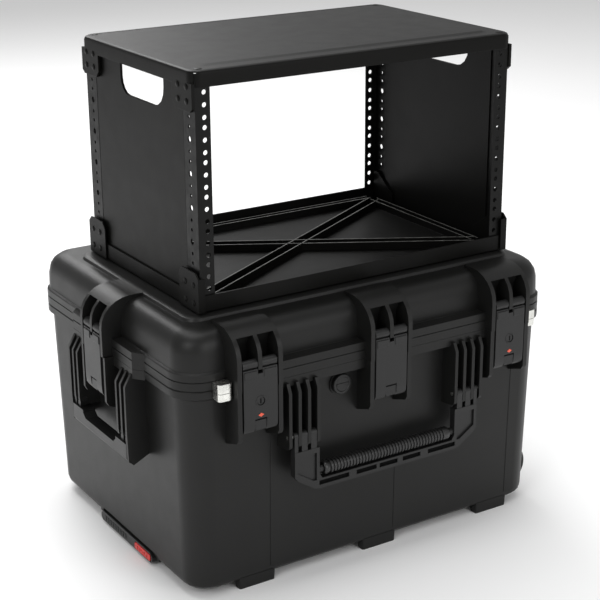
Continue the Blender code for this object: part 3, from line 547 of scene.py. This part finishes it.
class RACKCASE_OT_rolling(bpy.types.Operator):
    """Makes the spoked wheels and finishes the tow handle"""

    bl_idname = "rackcase.rolling"
    bl_label = "Wheels and tow handle"

    def execute(self, context):
        for word in ("front", "back"):
            self.wheel(word)
            dress(f"wheel_axle_{word}", "bright")
        dress("tow_frame", "steel", 0.0008)
        dress("tow_grip", "fitting", 0.0012)
        dress("tow_button", "red", 0.0012)
        dress("tow_strap_outer", "fitting", 0.0006)
        dress("tow_strap_inner", "fitting", 0.0006)
        low, high = box_mm("tow_grip")
        ridges = Shape()
        for i in range(9):
            y = low[1] + 82 + i * 8
            ridges.box(low[0] - 0.7, low[0] + 1, y, y + 3.2, 7, 14.5)
        ridges.piece("tow_grip_ridges", "tow_handle", "fitting", "fitting_plastic", 0.0003)
        low, high = box_mm("tow_button")
        bars = Shape()
        for i in range(5):
            y = low[1] + 9 + i * 7
            bars.box(low[0] - 0.6, low[0] + 1, y, y + 2.4, 8.5, 13.5)
        bars.piece("tow_button_ridges", "tow_release", "red", "red_plastic", 0.0003)
        return {"FINISHED"}

    def wheel(self, word):
        low, high = box_mm(f"wheel_tyre_{word}")
        x, z = (low[0] + high[0]) / 2, (low[2] + high[2]) / 2
        y0, y1 = low[1], high[1]
        tread = [(24.3, y0 + 3), (24.3, y1 - 3), (27, y1 - 0.6), (30, y1 - 0.2), (32.2, y1 - 2)]
        tread += [(33, y1 - 5), (33, y1 - 11), (32.3, y1 - 12), (32.3, y0 + 12), (33, y0 + 11)]
        tread += [(33, y0 + 5), (32.2, y0 + 2), (30, y0 + 0.2), (27, y0 + 0.6)]
        tyre = Shape().turned(tread, (x, 0, z), "y", 48, True)
        tyre.piece(
            f"tyre_tread_{word}", f"wheel_{word}", "rubber", "black_rubber",
            replaces=(f"wheel_tyre_{word}",), angle=50,
        )
        hub = Shape()
        a, b = y0 + 3, y1 - 3
        rim = [(19.5, a + 1), (19.5, b - 1), (20.5, b), (24, b), (24, a), (20.5, a)]
        hub.turned(rim, (x, 0, z), "y", 48, True)
        boss = [(4.35, a - 0.3), (4.35, b + 0.3), (8, b + 0.3), (9, b - 1), (9, a + 1), (8, a - 0.3)]
        hub.turned(boss, (x, 0, z), "y", 32, True)
        middle_y = (a + b) / 2
        disc = [(8.8, middle_y - 1.5), (8.8, middle_y + 1.5)]
        disc += [(19.7, middle_y + 1.5), (19.7, middle_y - 1.5)]
        hub.turned(disc, (x, 0, z), "y", 48, True)
        count = sizes().wheel_spokes
        for i in range(count):
            angle = 2 * pi * i / count
            ahead, across = Vector((cos(angle), sin(angle))), Vector((-sin(angle), cos(angle)))
            middle = Vector((x, z))
            outline = [
                middle + ahead * 8.8 - across * 2.2,
                middle + ahead * 19.8 - across * 1.5,
                middle + ahead * 19.8 + across * 1.5,
                middle + ahead * 8.8 + across * 2.2,
            ]
            hub.prism([tuple(p) for p in outline], a + 2, b - 2, "y")
        hub.piece(
            f"spoked_hub_{word}", f"wheel_{word}", "fitting", "fitting_plastic", 0.0004,
            replaces=(f"wheel_hub_{word}",),
        )


class RACKCASE_OT_fittings(bpy.types.Operator):
    """Finishes the pressure valve, the padlock plates and the hinge pins"""

    bl_idname = "rackcase.fittings"
    bl_label = "Small fittings"

    def execute(self, context):
        for side in ("left", "right"):
            for half in ("base", "lid"):
                dress(f"hasp_{half}_{side}", "bright")
            dress(f"hinge_pin_{side}", "bright")
        low, high = box_mm("valve_cap")
        x, z = (low[0] + high[0]) / 2, (low[2] + high[2]) / 2
        face, back = low[1], high[1]
        knob = Shape()
        profile = [(0.4, back), (13.6, back), (14.5, back - 1), (14.5, face + 1.4), (13.4, face + 0.2)]
        profile += [(10.6, face), (9.8, face + 1.1), (0.4, face + 1.1)]
        knob.turned(profile, (x, 0, z), "y", 40)
        knob.box(x - 9.5, x + 9.5, face + 0.1, face + 2, z - 1.5, z + 1.5)
        knob.piece(
            "valve_knob", "valve", "fitting", "fitting_plastic", 0.0004, replaces=("valve_cap",)
        )
        return {"FINISHED"}


class RACKCASE_OT_foam(bpy.types.Operator):
    """Makes the foam in the base and the lid"""

    bl_idname = "rackcase.foam"
    bl_label = "Foam"

    def execute(self, context):
        low, high = box_mm("foam_lid_pad")
        lid_pad = Shape()
        self.waved_slab(lid_pad.mesh, low, high, low[2], high[2], 4.5)
        self.foam(lid_pad, "egg_crate_foam", "lid", "foam_lid_pad")
        low, high = box_mm("foam_base_liner")
        liner = Shape()
        self.waved_slab(liner.mesh, low, high, low[2] + 17.7, low[2], -3.5)
        for y0, y1 in ((low[1], low[1] + 35), (high[1] - 35, high[1])):
            liner.box(low[0], low[0] + 10, y0, y1, low[2] + 10, high[2])
            liner.box(high[0] - 14, high[0], y0, y1, low[2] + 10, high[2])
        self.foam(liner, "foam_tray", "base", "foam_base_liner")
        return {"FINISHED"}

    def foam(self, shape, name, body, node):
        made = shape.piece(
            name, body, "foam", "grey_foam", 0.002, replaces=(node,), angle=40, segments=3
        )

    def waved_slab(self, mesh, low, high, waved, flat, depth):
        """A slab of foam with one face, at height waved, cut in soft waves."""
        across, deep = 72, 52
        top, waves = [], []
        for j in range(deep + 1):
            for i in range(across + 1):
                u, v = i / across, j / deep
                x = low[0] + (high[0] - low[0]) * u
                y = low[1] + (high[1] - low[1]) * v
                edge = min(1.0, 12 * min(u, 1 - u), 12 * min(v, 1 - v))
                wave = 0.5 + 0.25 * (cos(2 * pi * u * 12) + cos(2 * pi * v * 9))
                waves.append(mesh.verts.new((x, y, waved + depth * (1 - edge * wave))))
                top.append(mesh.verts.new((x, y, flat)))
        row = across + 1
        for j in range(deep):
            for i in range(across):
                k = j * row + i
                mesh.faces.new((waves[k], waves[k + row], waves[k + row + 1], waves[k + 1]))
                mesh.faces.new((top[k], top[k + 1], top[k + row + 1], top[k + row]))
        border = [*range(row), *(row * j + across for j in range(1, deep + 1))]
        border += [*(row * deep + i for i in range(across - 1, -1, -1))]
        border += [*(row * j for j in range(deep - 1, 0, -1))]
        for a, b in zip(border, border[1:] + border[:1]):
            mesh.faces.new((waves[a], waves[b], top[b], top[a]))
        bmesh.ops.recalc_face_normals(mesh, faces=mesh.faces)


class RACKCASE_OT_cage(bpy.types.Operator):
    """Finishes the rack cage: perforated posts, tray, top, panels, brackets and screws"""

    bl_idname = "rackcase.cage"
    bl_label = "Rack cage"

    def execute(self, context):
        dress("cage_tray", "cage", 0.0006)
        dress("cage_top", "cage", 0.0025)
        for side, sign in (("left", -1), ("right", 1)):
            dress(f"cage_panel_{side}", "cage", 0.0006)
            for place, end in (("front", -1), ("back", 1)):
                dress(f"cage_bracket_{place}_{side}", "cage", 0.0006)
                self.post(place, side, sign, end)
                self.corner_detail(place, side, sign, end)
        self.top_detail()
        self.rib_edges()
        return {"FINISHED"}

    def rib_edges(self):
        """Strips painted light along the tops of the tray's ribs: painted highlights where light catches
        their edges.
        """
        low, high = box_mm("cage_tray")
        middle = Vector(((low[0] + high[0]) / 2, (low[1] + high[1]) / 2))
        half_x = (high[0] - low[0]) / 2 - TRAY_WALL
        half_y = (high[1] - low[1]) / 2 - TRAY_WALL
        reach_x, reach_y = half_x - 24, half_y - 30
        level = low[2] + TRAY_RIB_TOP
        edges = Shape()

        def strip(a, b):
            along = (b - a).normalized()
            across = Vector((-along.y, along.x)) * TRAY_RIB_HALF
            outline = [middle + p for p in (a - across, b - across, b + across, a + across)]
            edges.prism([tuple(p) for p in outline], level - 0.4, level + 0.25)

        for side in (-1, 1):
            direction = Vector((2 * reach_x, side * 2 * reach_y)).normalized()
            across = Vector((-direction.y, direction.x))
            for offset in TRAY_PAIR:
                start = Vector((-reach_x, -side * reach_y)) + across * offset
                strip(start, start + direction * 2 * Vector((reach_x, reach_y)).length)
            for offset in TRAY_FRONT_RIBS:
                y = side * (half_y - offset)
                strip(Vector((-TRAY_RIB_REACH, y)), Vector((TRAY_RIB_REACH, y)))
            for offset in TRAY_END_RIBS:
                x = side * (half_x - offset)
                strip(Vector((x, -reach_y)), Vector((x, reach_y)))
        edges.piece("tray_rib_edges", "rack_cage", "edge_highlight", "cage_plastic")

    def post(self, place, side, sign, end):
        """A rack post of sheet steel, with every hole of both flanges open."""
        node = f"rack_post_{place}_{side}"
        low, high = box_mm(node)
        face = low[1] if end < 0 else high[1]
        outer = low[0] if sign < 0 else high[0]
        inner = high[0] if sign < 0 else low[0]
        far = high[1] if end < 0 else low[1]
        levels = [RACK_Z + RACK_UNIT * unit + step for unit in range(6) for step in RACK_STEPS]
        shape = Shape()
        centre_x = outer - sign * RACK_ROW
        round_holes = [sizes().rack_hole / MM] * len(levels)
        self.strip(
            shape, levels, low[2], high[2], outer, inner, centre_x, round_holes,
            lambda a, z, deep: (a, face - end * deep, z),
        )
        small = sizes().side_hole / MM
        wide = [small * (1.7 if i % 3 == 1 else 1.0) for i in range(len(levels))]
        self.strip(
            shape, levels, low[2], high[2], face - end * POST_SHEET, far, face - end * SIDE_ROW,
            wide, lambda a, z, deep: (outer - sign * deep, a, z),
        )
        bmesh.ops.recalc_face_normals(shape.mesh, faces=shape.mesh.faces)
        shape.piece(
            f"perforated_post_{place}_{side}", "rack_cage", "steel", "cage_steel",
            replaces=(node,), angle=40,
        )

    def strip(self, shape, levels, bottom, top, edge_a, edge_b, middle, radii, put):
        """A flat strip with a round hole at each level, closed on all sides."""
        cuts = [bottom] + [(a + b) / 2 for a, b in zip(levels, levels[1:])] + [top]
        mesh = shape.mesh
        cache = {}

        def vertex(a, z, deep):
            key = (round(a, 3), round(z, 3), deep)
            if key not in cache:
                cache[key] = mesh.verts.new(put(a, z, deep))
            return cache[key]

        for level, hole, low, high in zip(levels, radii, cuts, cuts[1:]):
            square = [
                (edge_b, level), (edge_b, high), (middle, high), (edge_a, high),
                (edge_a, level), (edge_a, low), (middle, low), (edge_b, low),
            ]
            towards = 1 if edge_b > edge_a else -1
            for deep in (0, POST_SHEET):
                for k in range(8):
                    first, second = square[k], square[(k + 1) % 8]
                    round_a = [
                        (middle + towards * hole * cos(t), level + hole * sin(t))
                        for t in (pi / 4 * k, pi / 4 * (k + 0.5), pi / 4 * (k + 1))
                    ]
                    mesh.faces.new(
                        [vertex(*first, deep), vertex(*second, deep)]
                        + [vertex(*p, deep) for p in reversed(round_a)]
                    )
            for k in range(16):
                t, after = pi / 8 * k, pi / 8 * (k + 1)
                a = (middle + towards * hole * cos(t), level + hole * sin(t))
                b = (middle + towards * hole * cos(after), level + hole * sin(after))
                mesh.faces.new(
                    (vertex(*a, 0), vertex(*b, 0), vertex(*b, POST_SHEET), vertex(*a, POST_SHEET))
                )
            for edge in (edge_a, edge_b):
                for z0, z1 in ((low, level), (level, high)):
                    mesh.faces.new(
                        [vertex(edge, z, 0) for z in (z0, z1)]
                        + [vertex(edge, z, POST_SHEET) for z in (z1, z0)]
                    )
        for z in (bottom, top):
            for a0, a1 in ((edge_a, middle), (middle, edge_b)):
                mesh.faces.new(
                    [vertex(a, z, 0) for a in (a0, a1)]
                    + [vertex(a, z, POST_SHEET) for a in (a1, a0)]
                )

    def screw(self, shape, centre, axis, out):
        """A domed screw head."""
        radius = sizes().screw / MM
        along = {"x": 0, "y": 1}[axis]
        base = centre[along]
        at = list(centre)
        at[along] = 0
        profile = [(radius, base), (radius, base + out * 0.5)]
        profile += [(radius * 0.75, base + out * 1.1), (0.5, base + out * 1.4)]
        shape.turned(profile, at, axis, 20)

    def corner_detail(self, place, side, sign, end):
        """Screws on the bottom bracket and on the tab of the top."""
        low, high = box_mm(f"cage_bracket_{place}_{side}")
        face_x = low[0] if sign < 0 else high[0]
        edge_y = low[1] if end < 0 else high[1]
        heads = Shape()
        for across, up in ((13, 12), (35, 12), (13, 36), (35, 36)):
            self.screw(heads, (face_x, edge_y - end * across, low[2] + up), "x", sign)
        top_low, top_high = box_mm("cage_top")
        top_x = top_low[0] if sign < 0 else top_high[0]
        top_y = (top_low[1] if end < 0 else top_high[1]) - end * 3
        for across, up in ((14, 13), (36, 13), (14, 31), (36, 31)):
            self.screw(heads, (top_x, top_y - end * across, top_low[2] + up), "x", sign)
        heads.piece(f"corner_screws_{place}_{side}", "rack_cage", "cage", "cage_plastic")

    def top_detail(self):
        """The groove along the back of the top, a thin strip painted dark as the shade in it, and the
        round bosses near its corners.
        """
        low, high = box_mm("cage_top")
        detail = Shape()
        middle = (low[0] + high[0]) / 2
        level = high[2] - TOP_RIM_DROP
        for side in (-1, 1):
            x = middle + side * 236
            for y in (low[1] + 13, high[1] - 13):
                profile = [(5.4, level - 0.5), (5.4, level + 0.3), (4.4, level + 0.7), (0.4, level + 0.8)]
                detail.turned(profile, (x, y, 0), "z", 24)
        detail.piece("top_bosses", "rack_cage", "cage", "cage_plastic")
        # Painted shade: the groove is a thin strip in the dark shade finish.
        groove = Shape()
        groove.box(low[0] + 14, high[0] - 14, high[1] - 10.6, high[1] - 9.4, level - 0.3, level + 0.1)
        groove.piece("top_groove", "rack_cage", "painted_shade", "cage_plastic")


class RACKCASE_OT_stage(bpy.types.Operator):
    """Sets up the floor, the soft lights and the camera"""

    bl_idname = "rackcase.stage"
    bl_label = "Stage"

    def execute(self, context):
        scene = context.scene
        floor_finish = Finish("studio_floor", (0.95, 0.95, 0.95), 0.9)
        floor_finish.rough(floor_finish.noise(3, 2), 0.75, 0.85)
        mesh = bmesh.new()
        bmesh.ops.create_grid(mesh, x_segments=2, y_segments=2, size=9.0)
        data = bpy.data.meshes.new("studio_floor")
        mesh.to_mesh(data)
        mesh.free()
        data.materials.append(floor_finish.material)
        floor = bpy.data.objects.new("studio_floor", data)
        scene.collection.objects.link(floor)
        world = bpy.data.worlds.new("soft_studio")
        scene.world = world
        world.use_nodes = True
        background = world.node_tree.nodes["Background"]
        background.inputs["Color"].default_value = (1.0, 1.0, 1.0, 1.0)
        background.inputs["Strength"].default_value = 0.50
        scene.view_settings.view_transform = "Standard"
        for name, place, size, power in LIGHTS:
            self.light(scene, name, place, size, power)
        self.camera(scene)
        return {"FINISHED"}

    def light(self, scene, name, place, size, power):
        lamp = bpy.data.lights.new(name, "AREA")
        lamp.size = size
        lamp.energy = power
        holder = bpy.data.objects.new(name, lamp)
        holder.location = place
        aim = Vector(LIGHT_TARGET) - Vector(place)
        holder.rotation_euler = aim.to_track_quat("-Z", "Y").to_euler()
        scene.collection.objects.link(holder)

    def camera(self, scene):
        azimuth, elevation, roll = radians(-32.17), radians(19.56), radians(-0.35)
        back = Vector((sin(azimuth) * cos(elevation), -cos(azimuth) * cos(elevation), sin(elevation)))
        right = Vector((cos(azimuth), sin(azimuth), 0))
        up = back.cross(right)
        across = cos(roll) * right + sin(roll) * up
        upward = -sin(roll) * right + cos(roll) * up
        turn = Matrix((across, upward, back)).transposed().to_4x4()
        lens = bpy.data.cameras.new("studio_camera")
        lens.sensor_width = 36.0
        lens.lens = 91.13
        camera = bpy.data.objects.new("studio_camera", lens)
        camera.matrix_world = Matrix.Translation((-1.1059, -1.7836, 1.0543)) @ turn
        scene.collection.objects.link(camera)
        scene.camera = camera


STEPS = (
    RACKCASE_OT_finishes,
    RACKCASE_OT_shells,
    RACKCASE_OT_latches,
    RACKCASE_OT_handles,
    RACKCASE_OT_rolling,
    RACKCASE_OT_fittings,
    RACKCASE_OT_foam,
    RACKCASE_OT_cage,
    RACKCASE_OT_stage,
)


class RACKCASE_PT_panel(bpy.types.Panel):
    """Lists the steps and their settings"""

    bl_idname = "RACKCASE_PT_panel"
    bl_label = "Equipment rack case"
    bl_space_type = "VIEW_3D"
    bl_region_type = "UI"
    bl_category = "Rack Case"

    def draw(self, context):
        column = self.layout.column()
        for group in (context.scene.rack_case_sizes, context.scene.rack_case_colours):
            for name in type(group).__annotations__:
                column.prop(group, name)
        for step in STEPS:
            column.operator(step.bl_idname)


CLASSES = (RackCaseSizes, RackCaseColours, *STEPS, RACKCASE_PT_panel)


def register():
    for made in CLASSES:
        bpy.utils.register_class(made)
    bpy.types.Scene.rack_case_sizes = bpy.props.PointerProperty(type=RackCaseSizes)
    bpy.types.Scene.rack_case_colours = bpy.props.PointerProperty(type=RackCaseColours)


def unregister():
    del bpy.types.Scene.rack_case_colours
    del bpy.types.Scene.rack_case_sizes
    for made in reversed(CLASSES):
        bpy.utils.unregister_class(made)


def main():
    register()
    for step in STEPS:
        group, name = step.bl_idname.split(".")
        getattr(getattr(bpy.ops, group), name)()


if __name__ == "__main__":
    main()
